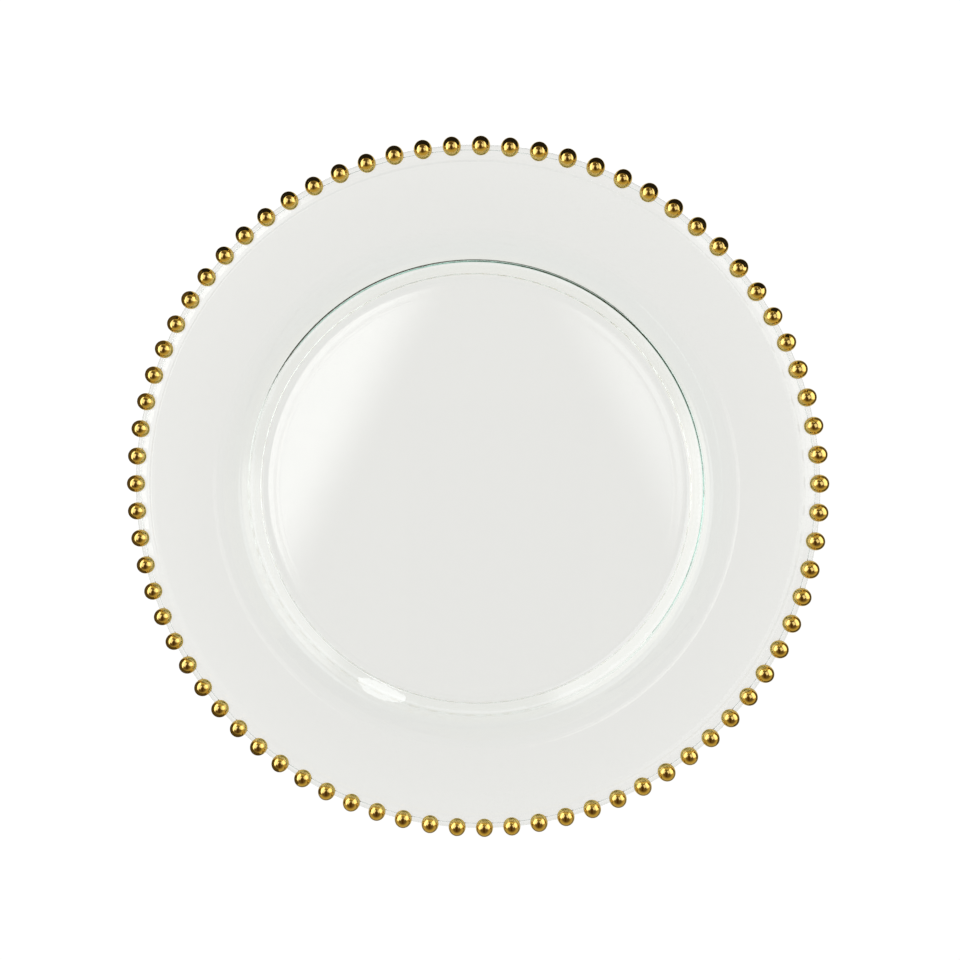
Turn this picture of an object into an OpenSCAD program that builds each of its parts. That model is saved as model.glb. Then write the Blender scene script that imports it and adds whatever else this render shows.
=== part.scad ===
// Round charger plate of pressed clear glass with a border of gold-coated beads.
// Millimetres, +Z up. The origin is the centre of the foot, on the surface it stands on.

/* [Well] */
// Radius at which the flat floor of the well turns up into the verge
well_radius = 104.6; // [94:0.2:112]
// Thickness of the glass under the floor of the well
floor_thickness = 4; // [3:0.1:6]
// Height of the shoulder above the floor of the well
well_depth = 8.5; // [6:0.1:12]
// Width of the sloping verge between the floor and the shoulder
verge_width = 10.3; // [8:0.1:16]
// Rounding of the corner between the floor and the verge
cove_rounding = 7; // [2:0.5:10]
// Rounding of the shoulder between the verge and the rim
shoulder_rounding = 12; // [4:1:18]

/* [Rim] */
// Width of the sloping rim from the shoulder to the border
rim_width = 38.7; // [28:0.1:48]
// Height that the rim gains from the shoulder to the border
rim_rise = 12.4; // [8:0.1:17]
// Thickness of the glass across the rim
rim_thickness = 4; // [3:0.1:5]

/* [Foot] */
// Height of the foot ring below the underside of the floor
foot_height = 1.5; // [1:0.1:3]
// Width of the flat sole of the foot ring
foot_width = 6; // [4:0.2:8]
// Distance from the corner of the well out to the inner side of the foot ring
foot_offset = 4.8; // [3:0.1:6]
// Distance that the inner side of the foot ring slants in over its height
foot_draft = 0.8; // [0.4:0.1:1.5]
// Height of the steep outer side of the foot ring
outer_height = 2.1; // [1.6:0.1:3]
// Distance that the outer side of the foot ring slants out over its height
outer_draft = 0.96; // [0.5:0.02:1.5]
// Rounding of the edges of the foot ring
foot_rounding = 0.5; // [0.2:0.1:0.7]
// Distance from the shoulder out to where the thick heel over the foot runs into the rim
heel_width = 12; // [10:0.5:18]
// Rounding of the hollow where the heel runs into the rim
heel_rounding = 8; // [2:0.5:14]

/* [Border] */
// Width of the thin flange from the edge of the rim to the line of the link ring
flange_width = 6.7; // [6.2:0.1:9]
// Thickness of the thin flange
flange_thickness = 1.9; // [1.4:0.1:2.3]
// Step down from the upper face of the rim to the flange
flange_step = 0.4; // [0.2:0.1:0.8]
// Distance over which the upper face slants down from the rim to the flange
step_run = 1.2; // [0.8:0.1:1.6]
// Distance over which the underside thins out from the rim to the flange
taper_run = 3; // [2:0.1:3.6]
// Rounding of the corners of the step and of the taper
step_rounding = 0.8; // [0.3:0.1:1.2]
// Thickness of the round link ring that strings the beads together
link_thickness = 2.7; // [2.4:0.1:3.2]

/* [Beads] */
// Number of beads round the border
bead_count = 76; // [60:1:88]
// Diameter of a finished bead, over its gold coat
bead_diameter = 8.4; // [7.6:0.1:9]
// Thickness of the gold coat on each bead
coat_thickness = 0.3; // [0.2:0.05:0.5]
// Height of the bead centres above the middle of the link ring
bead_lift = 1.8; // [1.2:0.1:2.2]
// Distance of the bead centres outside the middle of the link ring
bead_outset = 0.5; // [0:0.1:1]

/* [Hidden] */
// Number of nodes that share out the gold coats, and their names
coat_groups = 19;
function coat_name(group) = str("gold_coats_", group < 9 ? "0" : "", group + 1);

// Facets of a full circle, and steps in each rounded corner of the profile
circle_facets = 240;
link_facets = 32;
bead_facets = 40;
corner_steps = 6;

glass_colour = [0.86, 0.93, 0.9, 0.45];
gold_colour = [0.83, 0.62, 0.2];

// Levels of the upper face, from the sole of the foot up
underside_z = foot_height;
floor_z = underside_z + floor_thickness;
shoulder_z = floor_z + well_depth;
rim_edge_z = shoulder_z + rim_rise;
flange_z = rim_edge_z - flange_step;
flange_underside_z = flange_z - flange_thickness;
link_z = flange_z - flange_thickness / 2;
bead_z = link_z + bead_lift;

// Distances from the axis
shoulder_r = well_radius + verge_width;
rim_edge_r = shoulder_r + rim_width;
step_foot_r = rim_edge_r + step_run;
taper_foot_r = rim_edge_r + taper_run;
link_circle_r = rim_edge_r + flange_width;
bead_circle_r = link_circle_r + bead_outset;
foot_inner_r = well_radius + foot_offset;
foot_outer_r = foot_inner_r + foot_width;

link_radius = link_thickness / 2;
bead_radius = bead_diameter / 2;
core_radius = bead_radius - coat_thickness;
bead_pitch_angle = 360 / bead_count;
// The first bead stands half a pitch from the +X axis
bead_phase_angle = bead_pitch_angle / 2;

// Underside of the rim: its depth below the upper face, its edge, and where the heel meets it
rim_angle = atan2(rim_rise, rim_width);
rim_drop = rim_thickness / cos(rim_angle);
under_edge = [rim_edge_r, rim_edge_z - rim_drop];
under_heel = [shoulder_r + heel_width, shoulder_z + heel_width * tan(rim_angle) - rim_drop];

function unit(v) = v / norm(v);

// Points of the round of radius r, which is limited by its walls, at corner b between a and c
function rounded(a, b, c, r) =
    let (
        to_a = unit(a - b),
        to_c = unit(c - b),
        half_angle = acos(to_a * to_c) / 2,
        wall = min(norm(a - b), norm(c - b)) / 2,
        fitted = min(r, wall * tan(half_angle)),
        centre = b + unit(to_a + to_c) * fitted / sin(half_angle),
        start = b + to_a * fitted / tan(half_angle) - centre,
        end = b + to_c * fitted / tan(half_angle) - centre,
        turn = acos(unit(start) * unit(end)),
        way = sign(start.x * end.y - start.y * end.x)
    )
    [for (i = [0 : corner_steps])
        let (angle = way * turn * i / corner_steps)
        centre + [
            start.x * cos(angle) - start.y * sin(angle),
            start.x * sin(angle) + start.y * cos(angle)
        ]];

// Half section of the plate, from the axis out to the middle of the link ring.
// Each corner is [distance from the axis, height, rounding].
plate_corners = [
    [0, underside_z, 0],
    [0, floor_z, 0],
    [well_radius, floor_z, cove_rounding],
    [shoulder_r, shoulder_z, shoulder_rounding],
    [rim_edge_r, rim_edge_z, step_rounding],
    [step_foot_r, flange_z, step_rounding],
    [link_circle_r, flange_z, 0],
    [link_circle_r, flange_underside_z, 0],
    [taper_foot_r, flange_underside_z, step_rounding],
    [under_edge.x, under_edge.y, step_rounding],
    [under_heel.x, under_heel.y, heel_rounding],
    [foot_outer_r + outer_draft, outer_height, foot_rounding],
    [foot_outer_r, 0, foot_rounding],
    [foot_inner_r, 0, foot_rounding],
    [foot_inner_r - foot_draft, underside_z, foot_rounding]
];

function flat(corner) = [corner.x, corner.y];

function rounded_outline(corners) =
    let (count = len(corners))
    [for (i = [0 : count - 1])
        let (
            before = flat(corners[(i + count - 1) % count]),
            here = flat(corners[i]),
            after = flat(corners[(i + 1) % count]),
            rounding = corners[i][2]
        )
        each (rounding > 0 ? rounded(before, here, after, rounding) : [here])];

module plate_section() {
    polygon(rounded_outline(plate_corners));
}

module link_section() {
    translate([link_circle_r, link_z])
        circle(r = link_radius, $fn = link_facets);
}

// Flange and link ring alone, as they run through the beads
module web() {
    rotate_extrude($fn = circle_facets) {
        link_section();
        translate([taper_foot_r, flange_underside_z])
            square([link_circle_r - taper_foot_r, flange_thickness]);
    }
}

module at_bead(index) {
    rotate([0, 0, bead_phase_angle + index * bead_pitch_angle])
        translate([bead_circle_r, 0, bead_z])
            children();
}

// The pressed glass: well, rim, foot, flange, link ring and the clear core of every bead
module glass_plate() {
    color(glass_colour)
        union() {
            rotate_extrude($fn = circle_facets) {
                plate_section();
                link_section();
            }
            for (index = [0 : bead_count - 1])
                at_bead(index)
                    sphere(r = core_radius, $fn = bead_facets);
        }
}

// One gold coat: a shell on the bead's core, open where the link ring and the flange pass
module gold_coat(index) {
    difference() {
        at_bead(index)
            sphere(r = bead_radius, $fn = bead_facets);
        at_bead(index)
            sphere(r = core_radius, $fn = bead_facets);
        web();
    }
}

module gold_coats(group) {
    color(gold_colour)
        for (index = [0 : bead_count - 1])
            if (floor(index * coat_groups / bead_count) == group)
                gold_coat(index);
}

glass_plate();
for (group = [0 : coat_groups - 1])
    gold_coats(group);
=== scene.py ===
import math

import bmesh
import bpy
from mathutils import Matrix, Vector


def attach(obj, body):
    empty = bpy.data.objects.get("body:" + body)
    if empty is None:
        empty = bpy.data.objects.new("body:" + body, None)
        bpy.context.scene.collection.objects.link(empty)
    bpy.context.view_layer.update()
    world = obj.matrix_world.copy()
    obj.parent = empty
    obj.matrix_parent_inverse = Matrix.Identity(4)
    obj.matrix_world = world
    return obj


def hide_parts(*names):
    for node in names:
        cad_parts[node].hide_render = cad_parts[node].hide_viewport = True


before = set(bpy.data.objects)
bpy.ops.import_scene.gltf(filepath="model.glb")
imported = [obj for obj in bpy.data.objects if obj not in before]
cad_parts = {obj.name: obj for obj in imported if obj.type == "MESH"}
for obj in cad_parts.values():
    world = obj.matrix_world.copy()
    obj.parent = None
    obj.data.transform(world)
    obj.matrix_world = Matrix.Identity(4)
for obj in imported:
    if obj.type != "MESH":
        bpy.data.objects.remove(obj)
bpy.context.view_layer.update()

# Charger plate of pressed clear glass with a border of gold-coated beads.
# Metres, +Z up; the plate stands on the XY plane and its axis is the Z axis.
scene = bpy.context.scene
mm = 0.001


def addNode(tree, kind, values=(), links=(), **settings):
    # A node with its settings, its plain input values and what feeds its other inputs
    node = tree.nodes.new(kind)
    for name, value in settings.items():
        setattr(node, name, value)
    for name, value in dict(values).items():
        node.inputs[name].default_value = value
    for name, source in dict(links).items():
        tree.links.new(source, node.inputs[name])
    return node


def mathNode(tree, operation, first, second=None):
    # A Math node on two sockets or numbers, by its output
    node = addNode(tree, "ShaderNodeMath", operation=operation)
    for socket, source in zip(node.inputs, (first, second)):
        if source is None:
            continue
        if isinstance(source, (int, float)):
            socket.default_value = source
        else:
            tree.links.new(source, socket)
    return node.outputs[0]


def newMaterial(name):
    # A material with an empty tree and its output node
    material = bpy.data.materials.new(name)
    material.use_nodes = True
    material.node_tree.nodes.clear()
    output = addNode(material.node_tree, "ShaderNodeOutputMaterial")
    return material, material.node_tree, output


def meshObject(name, points, faces, edges=()):
    mesh = bpy.data.meshes.new(name)
    mesh.from_pydata(points, edges, faces)
    thing = bpy.data.objects.new(name, mesh)
    scene.collection.objects.link(thing)
    return thing


# Camera, over the plate and a little to its right and back
cameraPlace = {
    "location": (0.03231, 0.04054, 0.42202),
    "back": (0.0677, 0.0810, 0.9944),
    "right": (0.9977, -0.0055, -0.0674),
    "lens": 31.81,
    "sensor": 36.0,
    "nearest": 0.01,
}


def makeCamera(place):
    back = Vector(place["back"]).normalized()
    up = back.cross(Vector(place["right"])).normalized()
    right = up.cross(back)
    data = bpy.data.cameras.new("camera")
    data.lens = place["lens"]
    data.sensor_width = place["sensor"]
    data.clip_start = place["nearest"]
    camera = bpy.data.objects.new("camera", data)
    turn = Matrix((right, up, back)).transposed().to_4x4()
    camera.matrix_world = Matrix.Translation(place["location"]) @ turn
    scene.collection.objects.link(camera)
    scene.camera = camera


makeCamera(cameraPlace)
print("camera placed")

# Studio: white floor, white surroundings, two soft boxes, and what shows only in reflections
floorLook = {
    "halfSize": 4.0,
    "shareOfLight": 0.10,
    "ownWhite": 0.95,
}
surroundings = {
    "white": (1.0, 1.0, 1.0, 1.0),
    "fill": 0.50,
}
softBoxes = {
    "leftBox": {
        "centre": (-0.42, 0.15, 0.24), "size": (0.95, 0.40), "glow": 2.3, "softShares": (0.20, 0.20),
    },
    "rightBox": {
        "centre": (0.62, 0.20, 0.30), "size": (0.90, 0.72), "glow": 1.7, "softShares": (0.18, 0.18),
    },
}
boxTarget = (0.0, 0.05, 0.02)
# The cards light nothing: their tones are painted reflections and highlights in the glass and the gold.
# Each card is seen by mirrored rays, by guided rays, by direct rays alone, which are short
# mirrored ones that have not been through the glass, or by near rays, which are mirrored ones
# and those that come back out of the glass after one turn inside it.
# Low cards round the plate: from and to angle in degrees, radius, height, tone and rays
lowCards = {
    "backCard": {
        "span": (34, 152), "radius": 0.190, "top": 0.056, "tone": (0.02, 0.018, 0.02), "rays": "mirrored",
    },
    "leftCard": {
        "span": (152, 225), "radius": 0.190, "top": 0.032, "tone": (0.22, 0.21, 0.15), "rays": "mirrored",
    },
    "frontCard": {
        "span": (225, 315), "radius": 0.190, "top": 0.028, "tone": (0.36, 0.34, 0.30), "rays": "mirrored",
    },
    "rightCard": {
        "span": (-45, 34), "radius": 0.190, "top": 0.032, "tone": (0.14, 0.12, 0.08), "rays": "mirrored",
    },
    "leftShade": {
        "span": (138, 238), "radius": 0.184, "top": 0.047, "tone": (0.12, 0.09, 0.04), "rays": "direct",
    },
}
cardSteps = 24
# Cards for direct rays show no further off than this, so the beads see them and the well doesn't
directReach = 0.08
# Near rays have fewer bounces than this, and rays with more see less of the soft boxes
plainDepth = 3.5
boxShareBeyond = 0.4
# Rays with more bounces than this come out of the glass after a long way inside it
guidedDepth = 6.0
# A small card at the back that glows only in reflections and is no lamp: a painted glint, the bright spot
# on the verge
glintCard = {
    "centre": (0.103, 0.251, 0.25),
    "halfSize": (0.039, 0.0075),
    "tone": (4.0, 4.0, 3.9),
    "steps": 32,
}
# Level cards overhead: middle, half sizes, turn in degrees, tone, the shares of width and length
# over which they fade toward their edges, rays, and the share of the tone that direct rays see
levelCards = {
    "overheadCard": {
        "middle": (-0.015, -0.27, 0.62), "half": (0.115, 0.33), "turn": 0, "tone": (0.10, 0.045, 0.014),
        "softShares": (0.02, 0.02), "rays": "mirrored", "directShare": 1.0,
    },
    # The two glow cards are painted highlights in the well and on the beads
    "leftGlow": {
        "middle": (-0.270, 0.071, 0.41), "half": (0.160, 0.213), "turn": -27, "tone": (3.6, 3.6, 3.55),
        "softShares": (0.20, 0.14), "rays": "near", "directShare": 0.45,
    },
    "rightGlow": {
        "middle": (0.224, 0.076, 0.41), "half": (0.140, 0.175), "turn": 27, "tone": (2.2, 2.2, 2.15),
        "softShares": (0.20, 0.14), "rays": "near", "directShare": 0.62,
    },
    # Painted shade: rays that come a long way through the glass see it, and it darkens the arc on the verge
    "darkCard": {
        "middle": (-0.13, 0.40, 0.62), "half": (0.22, 0.35), "turn": 0, "tone": (0.01, 0.01, 0.01),
        "softShares": (0.02, 0.02), "rays": "guided", "directShare": 1.0,
    },
}
# A round room that glows only in reflections, a painted reflection: its tones, and the spans of Y
# and of Z, on the way out from the plate's centre, over which they blend
room = {
    "radius": 3.0,
    "segments": 48,
    "rings": 24,
    "front": (0.70, 0.57, 0.22, 1.0),
    "back": (0.78, 0.66, 0.26, 1.0),
    "ceiling": (0.17, 0.12, 0.06, 1.0),
    "frontToBack": (-0.4, 0.6),
    "wallToCeiling": (0.35, 0.75),
}
# How often light may turn, most of it inside the glass
mostBounces = 24


def onlyReflected(thing):
    # Shows to mirrored rays and to rays in the glass, and to no others
    thing.visible_camera = False
    thing.visible_diffuse = False
    thing.visible_shadow = False
    thing.visible_volume_scatter = False


def backgroundRays(tree):
    # 1 for rays that show the background: seen straight, mirrored or through glass
    path = addNode(tree, "ShaderNodeLightPath")
    seen = mathNode(tree, "MAXIMUM", path.outputs["Is Camera Ray"], path.outputs["Is Glossy Ray"])
    return mathNode(tree, "MAXIMUM", seen, path.outputs["Is Transmission Ray"])


def makeFloor(look):
    size = look["halfSize"]
    corners = [(-size, -size, 0), (size, -size, 0), (size, size, 0), (-size, size, 0)]
    floor = meshObject("floor", corners, [(0, 1, 2, 3)])
    material, tree, output = newMaterial("floorWhite")
    share = look["shareOfLight"]
    lit = addNode(tree, "ShaderNodeBsdfDiffuse", {"Color": (share, share, share, 1)})
    strength = mathNode(tree, "MULTIPLY", backgroundRays(tree), look["ownWhite"])
    glow = addNode(tree, "ShaderNodeEmission", links={"Strength": strength})
    both = addNode(tree, "ShaderNodeAddShader", links={0: lit.outputs[0], 1: glow.outputs[0]})
    tree.links.new(both.outputs[0], output.inputs["Surface"])
    floor.data.materials.append(material)


def makeSurroundings(look):
    world = bpy.data.worlds.new("surroundings")
    scene.world = world
    world.use_nodes = True
    tree = world.node_tree
    tree.nodes.clear()
    seen = backgroundRays(tree)
    strength = addNode(tree, "ShaderNodeMapRange", {"To Min": look["fill"], "To Max": 1.0}, {"Value": seen})
    sky = addNode(
        tree, "ShaderNodeBackground", {"Color": look["white"]}, {"Strength": strength.outputs[0]}
    )
    output = addNode(tree, "ShaderNodeOutputWorld")
    tree.links.new(sky.outputs[0], output.inputs["Surface"])


def fadeToEdges(tree, places, softShares):
    # 0 at the sides of a square from 0 to 1, and 1 beyond a share of it from each side
    fades = []
    for place, share in zip(places, softShares):
        inset = mathNode(tree, "MINIMUM", place, mathNode(tree, "SUBTRACT", 1.0, place))
        fade = addNode(
            tree, "ShaderNodeMapRange", {"From Max": share}, {"Value": inset},
            interpolation_type="SMOOTHSTEP",
        )
        fades.append(fade.outputs[0])
    return mathNode(tree, "MULTIPLY", *fades)


def softenEdges(emitter, softShares):
    # The box fades toward its edges over a share of its width and of its height,
    # and is weaker for rays that come a long way through the glass
    emitter.use_nodes = True
    tree = emitter.node_tree
    tree.nodes.clear()
    place = addNode(tree, "ShaderNodeNewGeometry")
    axes = addNode(tree, "ShaderNodeSeparateXYZ", links={0: place.outputs["Parametric"]})
    fade = fadeToEdges(tree, (axes.outputs["X"], axes.outputs["Y"]), softShares)
    path = addNode(tree, "ShaderNodeLightPath")
    beyond = mathNode(tree, "GREATER_THAN", path.outputs["Ray Depth"], plainDepth)
    share = addNode(
        tree, "ShaderNodeMapRange", {"To Min": 1.0, "To Max": boxShareBeyond}, {"Value": beyond}
    )
    strength = mathNode(tree, "MULTIPLY", fade, share.outputs[0])
    glow = addNode(tree, "ShaderNodeEmission", links={"Strength": strength})
    output = addNode(tree, "ShaderNodeOutputLight")
    tree.links.new(glow.outputs[0], output.inputs["Surface"])


def makeSoftBox(name, box):
    data = bpy.data.lights.new(name, "AREA")
    data.shape = "RECTANGLE"
    data.size, data.size_y = box["size"]
    # Power that gives the box its brightness as it shows in a mirror
    data.energy = box["glow"] * math.pi * data.size * data.size_y
    softenEdges(data, box["softShares"])
    emitter = bpy.data.objects.new(name, data)
    away = Vector(box["centre"]) - Vector(boxTarget)
    turn = away.to_track_quat("Z", "Y").to_matrix().to_4x4()
    emitter.matrix_world = Matrix.Translation(box["centre"]) @ turn
    emitter.visible_camera = False
    scene.collection.objects.link(emitter)


def directRays(tree, path):
    # 1 for rays that have not been through the glass
    return mathNode(tree, "LESS_THAN", path.outputs["Transmission Depth"], 0.5)


def showReflected(tree, output, glow, rays="mirrored", fade=None):
    # Lets the glow show to the rays of one kind, and all others pass
    path = addNode(tree, "ShaderNodeLightPath")
    mirrored = mathNode(
        tree, "GREATER_THAN", path.outputs["Is Glossy Ray"], path.outputs["Is Transmission Ray"]
    )
    guided = mathNode(tree, "GREATER_THAN", path.outputs["Ray Depth"], guidedDepth)
    shown = guided if rays == "guided" else mathNode(tree, "SUBTRACT", mirrored, guided)
    if rays == "direct":
        close = mathNode(tree, "LESS_THAN", path.outputs["Ray Length"], directReach)
        shown = mathNode(tree, "MULTIPLY", shown, directRays(tree, path))
        shown = mathNode(tree, "MULTIPLY", shown, close)
    if rays == "near":
        fewTurns = mathNode(tree, "LESS_THAN", path.outputs["Ray Depth"], plainDepth)
        near = mathNode(tree, "MULTIPLY", path.outputs["Is Transmission Ray"], fewTurns)
        shown = mathNode(tree, "ADD", shown, near)
    if fade:
        shown = mathNode(tree, "MULTIPLY", shown, fade)
    clear = addNode(tree, "ShaderNodeBsdfTransparent")
    surface = addNode(
        tree, "ShaderNodeMixShader", links={0: shown, 1: clear.outputs[0], 2: glow.outputs[0]}
    )
    tree.links.new(surface.outputs[0], output.inputs["Surface"])


def glowMaterial(name, tone, rays="mirrored", softShares=None, directShare=1.0):
    material, tree, output = newMaterial(name)
    glow = addNode(tree, "ShaderNodeEmission", {"Color": (*tone, 1.0)})
    if directShare != 1.0:
        direct = directRays(tree, addNode(tree, "ShaderNodeLightPath"))
        strength = addNode(
            tree, "ShaderNodeMapRange", {"To Min": 1.0, "To Max": directShare}, {"Value": direct}
        )
        tree.links.new(strength.outputs[0], glow.inputs["Strength"])
    fade = None
    if softShares:
        place = addNode(tree, "ShaderNodeTexCoord")
        axes = addNode(tree, "ShaderNodeSeparateXYZ", links={0: place.outputs["UV"]})
        fade = fadeToEdges(tree, (axes.outputs["X"], axes.outputs["Y"]), softShares)
    showReflected(tree, output, glow, rays, fade)
    return material


def makeLowCard(name, card):
    start, end = (math.radians(angle) for angle in card["span"])
    points = []
    for step in range(cardSteps + 1):
        angle = start + (end - start) * step / cardSteps
        x, y = card["radius"] * math.cos(angle), card["radius"] * math.sin(angle)
        points += [(x, y, 0.0), (x, y, card["top"])]
    faces = [(2 * i, 2 * i + 1, 2 * i + 3, 2 * i + 2) for i in range(cardSteps)]
    thing = meshObject(name, points, faces)
    thing.data.materials.append(glowMaterial(name, card["tone"], card["rays"]))
    onlyReflected(thing)


def makeGlintCard(emitter):
    # An oval card that faces the plate and paints the glint on the verge
    centre = Vector(emitter["centre"])
    away = (centre - Vector(boxTarget)).normalized()
    across = away.cross(Vector((0, 0, 1))).normalized()
    rise = across.cross(away)
    width, height = emitter["halfSize"]
    points = []
    for step in range(emitter["steps"]):
        angle = 2 * math.pi * step / emitter["steps"]
        points.append(centre + across * width * math.cos(angle) + rise * height * math.sin(angle))
    thing = meshObject("glintCard", points, [tuple(range(emitter["steps"]))])
    thing.data.materials.append(glowMaterial("glintCard", emitter["tone"]))
    onlyReflected(thing)


def makeLevelCard(name, card):
    corners = [(0, 0), (1, 0), (1, 1), (0, 1)]
    turn = Matrix.Rotation(math.radians(card["turn"]), 3, "Z")
    points = []
    for across, along in corners:
        inCard = Vector(((2 * across - 1) * card["half"][0], (2 * along - 1) * card["half"][1], 0))
        points.append(Vector(card["middle"]) + turn @ inCard)
    thing = meshObject(name, points, [(0, 1, 2, 3)])
    places = thing.data.uv_layers.new(name="places")
    for loop, corner in zip(places.data, corners):
        loop.uv = corner
    looks = card["tone"], card["rays"], card["softShares"], card["directShare"]
    thing.data.materials.append(glowMaterial(name, *looks))
    onlyReflected(thing)


def shareOfSpan(tree, span, place):
    # 0 at the start of the span and 1 at its end
    node = addNode(tree, "ShaderNodeMapRange", {"From Min": span[0], "From Max": span[1]}, {"Value": place})
    return node.outputs[0]


def makeRoom(look):
    # A painted reflection of a dim room, warmer in front, lighter at the back and darker overhead; it
    # lights nothing
    mesh = bpy.data.meshes.new("room")
    shell = bmesh.new()
    bmesh.ops.create_uvsphere(
        shell, u_segments=look["segments"], v_segments=look["rings"], radius=look["radius"]
    )
    shell.to_mesh(mesh)
    shell.free()
    thing = bpy.data.objects.new("room", mesh)
    scene.collection.objects.link(thing)
    material, tree, output = newMaterial("paintedRoomReflection")
    place = addNode(tree, "ShaderNodeTexCoord")
    way = addNode(tree, "ShaderNodeVectorMath", links={0: place.outputs["Object"]}, operation="NORMALIZE")
    axes = addNode(tree, "ShaderNodeSeparateXYZ", links={0: way.outputs[0]})
    toBack = shareOfSpan(tree, look["frontToBack"], axes.outputs["Y"])
    walls = addNode(
        tree, "ShaderNodeMix", {6: look["front"], 7: look["back"]}, {0: toBack}, data_type="RGBA"
    )
    toTop = shareOfSpan(tree, look["wallToCeiling"], axes.outputs["Z"])
    tones = addNode(
        tree, "ShaderNodeMix", {7: look["ceiling"]}, {0: toTop, 6: walls.outputs[2]}, data_type="RGBA"
    )
    glow = addNode(tree, "ShaderNodeEmission", links={"Color": tones.outputs[2]})
    showReflected(tree, output, glow)
    mesh.materials.append(material)
    onlyReflected(thing)


makeFloor(floorLook)
makeSurroundings(surroundings)
for boxName, box in softBoxes.items():
    makeSoftBox(boxName, box)
for cardName, card in lowCards.items():
    makeLowCard(cardName, card)
makeGlintCard(glintCard)
for cardName, card in levelCards.items():
    makeLevelCard(cardName, card)
makeRoom(room)
scene.view_settings.view_transform = "Standard"
scene.cycles.caustics_reflective = False
scene.cycles.caustics_refractive = False
scene.cycles.max_bounces = mostBounces
scene.cycles.transmission_bounces = mostBounces
scene.cycles.glossy_bounces = mostBounces
print("studio set up")


def makeWaves():
    # Soft unevenness of a pressed or fired surface, as a height between 0 and 1
    group = bpy.data.node_groups.new("softWaves", "ShaderNodeTree")
    for name, start in (("Broad Scale", 20.0), ("Fine Scale", 200.0), ("Fine Share", 0.2)):
        socket = group.interface.new_socket(name=name, in_out="INPUT", socket_type="NodeSocketFloat")
        socket.default_value = start
    group.interface.new_socket(name="Height", in_out="OUTPUT", socket_type="NodeSocketFloat")
    into = addNode(group, "NodeGroupInput")
    out = addNode(group, "NodeGroupOutput")
    place = addNode(group, "ShaderNodeTexCoord")
    broad = addNode(
        group, "ShaderNodeTexNoise", {"Detail": 1.0},
        {"Vector": place.outputs["Object"], "Scale": into.outputs["Broad Scale"]},
    )
    fine = addNode(
        group, "ShaderNodeTexNoise", {"Detail": 3.0},
        {"Vector": place.outputs["Object"], "Scale": into.outputs["Fine Scale"]},
    )
    height = addNode(
        group, "ShaderNodeMix",
        links={0: into.outputs["Fine Share"], 2: broad.outputs["Fac"], 3: fine.outputs["Fac"]},
    )
    group.links.new(height.outputs[0], out.inputs["Height"])
    return group


softWaves = makeWaves()

glassLook = {
    # The glass's own colour and also painted shade: it darkens the floor seen through the glass, as the
    # plate's shade on the floor would
    "tintAndShade": (0.863, 0.860, 0.835, 1.0),
    "roughness": 0.0,
    "ior": 1.52,
    "shadow": (0.96, 0.96, 0.955, 1.0),
    "body": (0.50, 0.80, 0.74, 1.0),
    "bodyDensity": 6.0,
    "broadScale": 16.0,
    "fineScale": 90.0,
    "fineShare": 0.15,
    "waveHeight": 0.6 * mm,
    "waveStrength": 0.18,
}


def wavesInto(tree, look):
    # The shared unevenness with one material's own values
    values = {
        "Broad Scale": look["broadScale"], "Fine Scale": look["fineScale"], "Fine Share": look["fineShare"],
    }
    return addNode(tree, "ShaderNodeGroup", values, node_tree=softWaves).outputs["Height"]


def makeGlass(look):
    material, tree, output = newMaterial("clearGlass")
    height = wavesInto(tree, look)
    bump = addNode(
        tree, "ShaderNodeBump", {"Strength": look["waveStrength"], "Distance": look["waveHeight"]},
        {"Height": height},
    )
    glass = addNode(
        tree, "ShaderNodeBsdfPrincipled",
        {
            "Base Color": look["tintAndShade"], "Roughness": look["roughness"], "IOR": look["ior"],
            "Transmission Weight": 1.0,
        },
        {"Normal": bump.outputs[0]},
    )
    # Lamps reach the floor under the glass through a plain shadow colour
    path = addNode(tree, "ShaderNodeLightPath")
    clear = addNode(tree, "ShaderNodeBsdfTransparent", {"Color": look["shadow"]})
    surface = addNode(
        tree, "ShaderNodeMixShader",
        links={0: path.outputs["Is Shadow Ray"], 1: glass.outputs[0], 2: clear.outputs[0]},
    )
    body = addNode(
        tree, "ShaderNodeVolumeAbsorption", {"Color": look["body"], "Density": look["bodyDensity"]}
    )
    tree.links.new(surface.outputs[0], output.inputs["Surface"])
    tree.links.new(body.outputs[0], output.inputs["Volume"])
    return material


goldLook = {
    "deep": (0.62, 0.43, 0.13, 1.0),
    "pale": (0.70, 0.51, 0.18, 1.0),
    "edge": (0.62, 0.55, 0.36, 1.0),
    "toneScale": 300.0,
    "smoothest": 0.07,
    "roughest": 0.13,
    "broadScale": 160.0,
    "fineScale": 900.0,
    "fineShare": 0.25,
    "waveHeight": 0.3 * mm,
    "waveStrength": 0.08,
}


def makeGold(look):
    material, tree, output = newMaterial("firedGold")
    height = wavesInto(tree, look)
    bump = addNode(
        tree, "ShaderNodeBump", {"Strength": look["waveStrength"], "Distance": look["waveHeight"]},
        {"Height": height},
    )
    place = addNode(tree, "ShaderNodeTexCoord")
    patches = addNode(
        tree, "ShaderNodeTexNoise", {"Scale": look["toneScale"], "Detail": 2.0},
        {"Vector": place.outputs["Object"]},
    )
    tone = addNode(
        tree, "ShaderNodeMix", {6: look["deep"], 7: look["pale"]}, {0: patches.outputs["Fac"]},
        data_type="RGBA",
    )
    rough = addNode(
        tree, "ShaderNodeMapRange", {"To Min": look["smoothest"], "To Max": look["roughest"]},
        {"Value": patches.outputs["Fac"]},
    )
    gold = addNode(
        tree, "ShaderNodeBsdfPrincipled", {"Metallic": 1.0, "Specular Tint": look["edge"]},
        {"Base Color": tone.outputs[2], "Roughness": rough.outputs[0], "Normal": bump.outputs[0]},
    )
    tree.links.new(gold.outputs[0], output.inputs["Surface"])
    return material


clearGlass = makeGlass(glassLook)
firedGold = makeGold(goldLook)
print("materials made")

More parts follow.
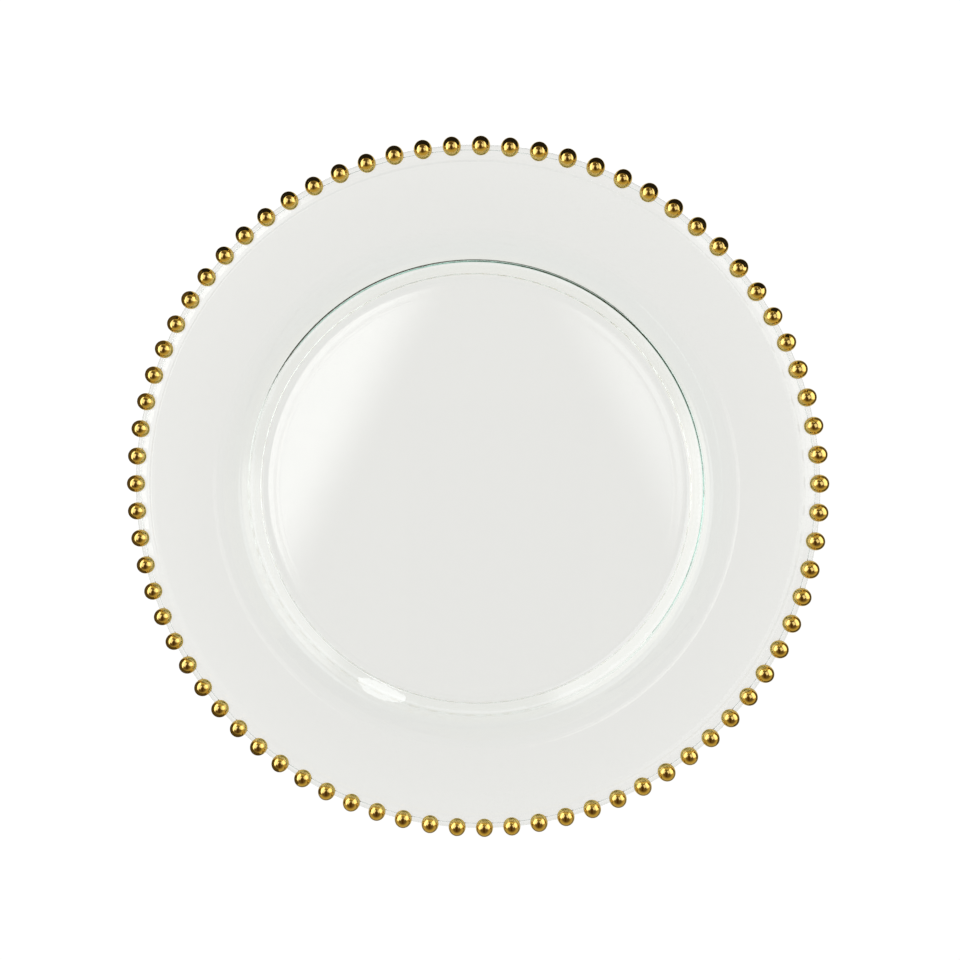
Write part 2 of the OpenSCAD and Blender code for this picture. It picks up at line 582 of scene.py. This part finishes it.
# The pressed glass: radii and heights of the section's corners, each with its rounding
plate = {
    "wellRadius": 104.6 * mm,
    "floorThickness": 4 * mm,
    "wellDepth": 8.5 * mm,
    "vergeWidth": 10.3 * mm,
    "coveRounding": 7 * mm,
    "ringRadius": 98.7 * mm,
    "ringInner": 0.3 * mm,
    "ringOuter": 1.5 * mm,
    "ringDepth": 0.12 * mm,
    "ringRounding": 0.3 * mm,
    "shoulderRounding": 12 * mm,
    "rimWidth": 38.7 * mm,
    "rimRise": 12.4 * mm,
    "rimThickness": 4 * mm,
    "footHeight": 1.5 * mm,
    "footWidth": 6 * mm,
    "footOffset": 4.8 * mm,
    "footDraft": 0.8 * mm,
    "outerHeight": 2.1 * mm,
    "outerDraft": 0.96 * mm,
    "footRounding": 0.5 * mm,
    "heelWidth": 12 * mm,
    "heelRounding": 8 * mm,
    "flangeWidth": 6.7 * mm,
    "flangeThickness": 1.9 * mm,
    "flangeStep": 0.4 * mm,
    "stepRun": 1.2 * mm,
    "taperRun": 3 * mm,
    "stepRounding": 0.8 * mm,
    "linkThickness": 2.7 * mm,
    "neckRounding": 0.25 * mm,
    "cornerSteps": 10,
    "linkSteps": 20,
    "supportGap": 0.5 * mm,
    "longestStep": 12 * mm,
    "stepsRound": 288,
    "weld": 0.001 * mm,
}
beads = {
    "count": 76,
    "diameter": 8.4 * mm,
    "lift": 1.8 * mm,
    "outset": 0.5 * mm,
    "smallestShare": 0.985,
    "segments": 32,
    "rings": 20,
    "seed": 7,
}

undersideZ = plate["footHeight"]
floorZ = undersideZ + plate["floorThickness"]
shoulderZ = floorZ + plate["wellDepth"]
rimEdgeZ = shoulderZ + plate["rimRise"]
flangeZ = rimEdgeZ - plate["flangeStep"]
flangeUndersideZ = flangeZ - plate["flangeThickness"]
linkZ = flangeZ - plate["flangeThickness"] / 2
beadZ = linkZ + beads["lift"]
shoulderR = plate["wellRadius"] + plate["vergeWidth"]
rimEdgeR = shoulderR + plate["rimWidth"]
stepFootR = rimEdgeR + plate["stepRun"]
taperFootR = rimEdgeR + plate["taperRun"]
linkCircleR = rimEdgeR + plate["flangeWidth"]
beadCircleR = linkCircleR + beads["outset"]
footInnerR = plate["wellRadius"] + plate["footOffset"]
footOuterR = footInnerR + plate["footWidth"]


def roundedCorner(before, corner, after, radius, steps):
    # Points of the round between two walls, which is no wider than half of either
    toBefore = (before - corner).normalized()
    toAfter = (after - corner).normalized()
    halfAngle = toBefore.angle(toAfter) / 2
    wall = min((before - corner).length, (after - corner).length) / 2
    fitted = min(radius, wall * math.tan(halfAngle))
    centre = corner + (toBefore + toAfter).normalized() * fitted / math.sin(halfAngle)
    start = corner + toBefore * fitted / math.tan(halfAngle) - centre
    end = corner + toAfter * fitted / math.tan(halfAngle) - centre
    turn = start.angle(end)
    way = math.copysign(1, start.x * end.y - start.y * end.x)
    points = []
    for step in range(steps + 1):
        angle = way * turn * step / steps
        cosine, sine = math.cos(angle), math.sin(angle)
        turned = Vector((start.x * cosine - start.y * sine, start.x * sine + start.y * cosine))
        points.append(centre + turned)
    return points


def withSupports(points, gap, longest):
    # Adds points near the ends of each long straight stretch, and along it
    result = [points[0]]
    for start, end in zip(points, points[1:]):
        length = (end - start).length
        if length > 3 * gap:
            way = (end - start) / length
            inner = length - 2 * gap
            count = max(1, math.ceil(inner / longest))
            result += [start + way * (gap + inner * i / count) for i in range(count + 1)]
        result.append(end)
    return result


def plateSection():
    # From the axis on the underside out round the link ring and back to the axis on top
    rimAngle = math.atan2(plate["rimRise"], plate["rimWidth"])
    # Under the rim: how far below its upper face, and where the heel runs into it
    rimDrop = plate["rimThickness"] / math.cos(rimAngle)
    heelR = shoulderR + plate["heelWidth"]
    heelZ = shoulderZ + plate["heelWidth"] * math.tan(rimAngle) - rimDrop
    linkRadius = plate["linkThickness"] / 2
    half = plate["flangeThickness"] / 2
    neckR = linkCircleR - math.sqrt(linkRadius ** 2 - half ** 2)
    foot, step, neck = plate["footRounding"], plate["stepRounding"], plate["neckRounding"]
    # The mould's plug leaves a faint ring in the floor of the well
    ringR, ring = plate["ringRadius"], plate["ringRounding"]
    wall = [
        (0, undersideZ, 0),
        (footInnerR - plate["footDraft"], undersideZ, foot),
        (footInnerR, 0, foot),
        (footOuterR, 0, foot),
        (footOuterR + plate["outerDraft"], plate["outerHeight"], foot),
        (heelR, heelZ, plate["heelRounding"]),
        (rimEdgeR, rimEdgeZ - rimDrop, step),
        (taperFootR, flangeUndersideZ, step),
        (neckR, flangeUndersideZ, neck),
        None,
        (neckR, flangeZ, neck),
        (stepFootR, flangeZ, step),
        (rimEdgeR, rimEdgeZ, step),
        (shoulderR, shoulderZ, plate["shoulderRounding"]),
        (plate["wellRadius"], floorZ, plate["coveRounding"]),
        (ringR + plate["ringOuter"], floorZ, ring),
        (ringR, floorZ - plate["ringDepth"], ring),
        (ringR - plate["ringInner"], floorZ, ring),
        (0, floorZ, 0),
    ]
    neckAngle = math.asin(half / linkRadius)
    link = []
    for i in range(1, plate["linkSteps"]):
        angle = (math.pi - neckAngle) * (2 * i / plate["linkSteps"] - 1)
        out, rise = linkRadius * math.cos(angle), linkRadius * math.sin(angle)
        link.append(Vector((linkCircleR + out, linkZ + rise)))
    points = []
    for i, corner in enumerate(wall):
        if corner is None:
            points += link
            continue
        here = Vector(corner[:2])
        if not corner[2]:
            points.append(here)
            continue
        before = link[-1] if wall[i - 1] is None else Vector(wall[i - 1][:2])
        after = link[0] if wall[i + 1] is None else Vector(wall[i + 1][:2])
        points += roundedCorner(before, here, after, corner[2], plate["cornerSteps"])
    return withSupports(points, plate["supportGap"], plate["longestStep"])


def newShapeTree(name, sockets):
    # A geometry tree with its geometry sockets and its named inputs
    tree = bpy.data.node_groups.new(name, "GeometryNodeTree")
    tree.is_modifier = True
    tree.interface.new_socket(name="Geometry", in_out="OUTPUT", socket_type="NodeSocketGeometry")
    tree.interface.new_socket(name="Geometry", in_out="INPUT", socket_type="NodeSocketGeometry")
    for socketName, kind in sockets.items():
        tree.interface.new_socket(name=socketName, in_out="INPUT", socket_type=kind)
    return tree, addNode(tree, "NodeGroupInput"), addNode(tree, "NodeGroupOutput")


def finishTree(tree, into, out, geometry):
    # Smooth faces, plain geometry and the material, as the last things in a tree
    smooth = addNode(tree, "GeometryNodeSetShadeSmooth", links={"Geometry": geometry})
    real = addNode(tree, "GeometryNodeRealizeInstances", links={"Geometry": smooth.outputs[0]})
    finish = addNode(
        tree, "GeometryNodeSetMaterial",
        links={"Geometry": real.outputs[0], "Material": into.outputs["Material"]},
    )
    tree.links.new(finish.outputs[0], out.inputs["Geometry"])


def makeLatheTree():
    # Turns a section in the XZ plane round the Z axis
    tree, into, out = newShapeTree("latheSection", {
        "Steps Round": "NodeSocketInt",
        "Weld": "NodeSocketFloat",
        "Material": "NodeSocketMaterial",
    })
    size = addNode(tree, "GeometryNodeAttributeDomainSize", links={"Geometry": into.outputs["Geometry"]})
    rows = size.outputs["Point Count"]
    columns = mathNode(tree, "ADD", into.outputs["Steps Round"], 1)
    grid = addNode(
        tree, "GeometryNodeMeshGrid", {"Size X": 1.0, "Size Y": 1.0},
        {"Vertices X": columns, "Vertices Y": rows},
    )
    position = addNode(tree, "GeometryNodeInputPosition").outputs[0]
    place = addNode(tree, "ShaderNodeSeparateXYZ", links={0: position})
    across = mathNode(tree, "ADD", place.outputs["Y"], 0.5)
    row = mathNode(tree, "ROUND", mathNode(tree, "MULTIPLY", across, mathNode(tree, "SUBTRACT", rows, 1)))
    point = addNode(
        tree, "GeometryNodeSampleIndex",
        links={"Geometry": into.outputs["Geometry"], "Index": row},
        data_type="FLOAT_VECTOR",
    )
    tree.links.new(position, point.inputs["Value"])
    section = addNode(tree, "ShaderNodeSeparateXYZ", links={0: point.outputs[0]})
    angle = mathNode(tree, "MULTIPLY", mathNode(tree, "ADD", place.outputs["X"], 0.5), 2 * math.pi)
    x = mathNode(tree, "MULTIPLY", section.outputs["X"], mathNode(tree, "COSINE", angle))
    y = mathNode(tree, "MULTIPLY", section.outputs["X"], mathNode(tree, "SINE", angle))
    spot = addNode(tree, "ShaderNodeCombineXYZ", links={"X": x, "Y": y, "Z": section.outputs["Z"]})
    turned = addNode(
        tree, "GeometryNodeSetPosition",
        links={"Geometry": grid.outputs["Mesh"], "Position": spot.outputs[0]},
    )
    welded = addNode(
        tree, "GeometryNodeMergeByDistance",
        links={"Geometry": turned.outputs[0], "Distance": into.outputs["Weld"]},
    )
    finishTree(tree, into, out, welded.outputs[0])
    return tree


def makeBeadTree():
    # Balls on a level circle, their poles along it so that the links hide them
    tree, into, out = newShapeTree("beadBorder", {
        "Count": "NodeSocketInt",
        "Circle Radius": "NodeSocketFloat",
        "Height": "NodeSocketFloat",
        "Bead Radius": "NodeSocketFloat",
        "Smallest Share": "NodeSocketFloat",
        "Segments": "NodeSocketInt",
        "Rings": "NodeSocketInt",
        "Seed": "NodeSocketInt",
        "Material": "NodeSocketMaterial",
    })
    index = addNode(tree, "GeometryNodeInputIndex").outputs[0]
    half = mathNode(tree, "ADD", index, 0.5)
    turnShare = mathNode(tree, "DIVIDE", half, into.outputs["Count"])
    angle = mathNode(tree, "MULTIPLY", turnShare, 2 * math.pi)
    x = mathNode(tree, "MULTIPLY", into.outputs["Circle Radius"], mathNode(tree, "COSINE", angle))
    y = mathNode(tree, "MULTIPLY", into.outputs["Circle Radius"], mathNode(tree, "SINE", angle))
    spot = addNode(tree, "ShaderNodeCombineXYZ", links={"X": x, "Y": y, "Z": into.outputs["Height"]})
    points = addNode(
        tree, "GeometryNodePoints", links={"Count": into.outputs["Count"], "Position": spot.outputs[0]}
    )
    ball = addNode(
        tree, "GeometryNodeMeshUVSphere",
        links={
            "Segments": into.outputs["Segments"], "Rings": into.outputs["Rings"],
            "Radius": into.outputs["Bead Radius"],
        },
    )
    along = addNode(tree, "ShaderNodeCombineXYZ", {"X": math.pi / 2}, {"Z": angle})
    # Inputs 2 and 3 are the smallest and the largest share, because Min and Max stand for vectors too
    grown = addNode(
        tree, "FunctionNodeRandomValue", {3: 1.0},
        {2: into.outputs["Smallest Share"], "Seed": into.outputs["Seed"]},
        data_type="FLOAT",
    )
    placed = addNode(
        tree, "GeometryNodeInstanceOnPoints",
        links={
            "Points": points.outputs[0], "Instance": ball.outputs["Mesh"],
            "Rotation": along.outputs[0], "Scale": grown.outputs[1],
        },
    )
    finishTree(tree, into, out, placed.outputs[0])
    return tree


def grow(name, start, tree, inputs):
    # Runs a geometry tree on an object and keeps the result as a plain mesh
    source = meshObject(name + "Source", start, [], [(i, i + 1) for i in range(len(start) - 1)])
    modifier = source.modifiers.new("shape", "NODES")
    modifier.node_group = tree
    for item in tree.interface.items_tree:
        if item.item_type == "SOCKET" and item.in_out == "INPUT" and item.name in inputs:
            modifier[item.identifier] = inputs[item.name]
    evaluated = source.evaluated_get(bpy.context.evaluated_depsgraph_get())
    mesh = bpy.data.meshes.new_from_object(evaluated)
    mesh.name = name
    bpy.data.objects.remove(source)
    shape = bmesh.new()
    shape.from_mesh(mesh)
    bmesh.ops.recalc_face_normals(shape, faces=shape.faces)
    shape.to_mesh(mesh)
    shape.free()
    thing = bpy.data.objects.new(name, mesh)
    scene.collection.objects.link(thing)
    return thing


sectionPoints = [(point.x, 0.0, point.y) for point in plateSection()]
glassPlate = grow("glassPlate", sectionPoints, makeLatheTree(), {
    "Steps Round": plate["stepsRound"],
    "Weld": plate["weld"],
    "Material": clearGlass,
})
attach(glassPlate, "root")
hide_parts("glass_plate")
print("glass plate turned:", len(glassPlate.data.polygons), "faces")

goldBeads = grow("goldBeads", [(0.0, 0.0, 0.0)], makeBeadTree(), {
    "Count": beads["count"],
    "Circle Radius": beadCircleR,
    "Height": beadZ,
    "Bead Radius": beads["diameter"] / 2,
    "Smallest Share": beads["smallestShare"],
    "Segments": beads["segments"],
    "Rings": beads["rings"],
    "Seed": beads["seed"],
    "Material": firedGold,
})
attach(goldBeads, "root")
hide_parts(*[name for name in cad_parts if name.startswith("gold_coats")])
print("beads set:", len(goldBeads.data.polygons), "faces")
